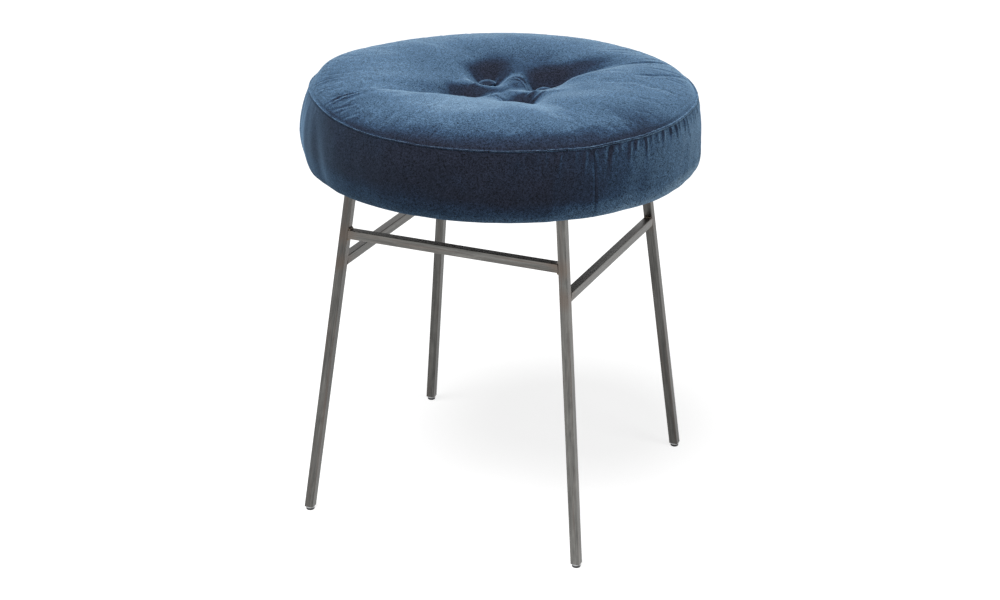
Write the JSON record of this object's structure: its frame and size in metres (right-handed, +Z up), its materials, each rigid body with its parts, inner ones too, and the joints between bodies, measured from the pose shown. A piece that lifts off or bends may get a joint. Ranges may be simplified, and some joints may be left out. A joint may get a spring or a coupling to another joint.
{
  "type": "round pouf",
  "caption": "Round low seat with a tufted velvet cushion on four slim, outward-leaning square steel legs joined by stretchers; used as a stool or footstool.",
  "frame": {"origin": "on the floor under the middle of the seat", "axes": "+Z up, +X to the right along the front stretcher, +Y to the back"},
  "size_m": [0.435, 0.435, 0.4883],
  "materials": {
    "velvet": "short pile velvet with a pale sheen",
    "steel": "dark raw steel under clear satin lacquer",
    "weld": "weld beads with a brown heat tint",
    "zinc": "bright zinc plate",
    "pad_plastic": "matt black moulding",
    "plywood": "raw birch plywood",
    "foam": "cut foam",
    "wadding": "fluffy polyester wadding",
    "twine": "waxed twine",
    "dust_cloth": "black spunbonded cloth"
  },
  "bodies": {
    "root": {"leg_front_left": "steel", "leg_front_right": "steel", "leg_back_right": "steel", "leg_back_left": "steel", "stretcher_front": "steel", "stretcher_back": "steel", "stretcher_left": "steel", "stretcher_right": "steel", "stretcher_welds": "weld", "plate_welds": "weld", "plate_front_left": "steel", "plate_front_right": "steel", "plate_back_right": "steel", "plate_back_left": "steel", "glide_front_left": "zinc", "glide_front_right": "zinc", "glide_back_right": "zinc", "glide_back_left": "zinc", "pad_front_left": "pad_plastic", "pad_front_right": "pad_plastic", "pad_back_right": "pad_plastic", "pad_back_left": "pad_plastic", "plate_bolts": "zinc", "bolt_washers": "zinc", "threaded_inserts": "zinc", "seat_board": "plywood", "foam_core": "foam", "wadding_top": "wadding", "wadding_side": "wadding", "cover_top": "velvet", "cover_band": "velvet", "seam_welt": "velvet", "button_front_left": "velvet", "button_front_right": "velvet", "button_back_right": "velvet", "button_back_left": "velvet", "button_loops": "zinc", "tufting_cords": "twine", "cord_anchors": "pad_plastic", "dust_cover": "dust_cloth", "staples": "zinc"}
  },
  "joints": []
}
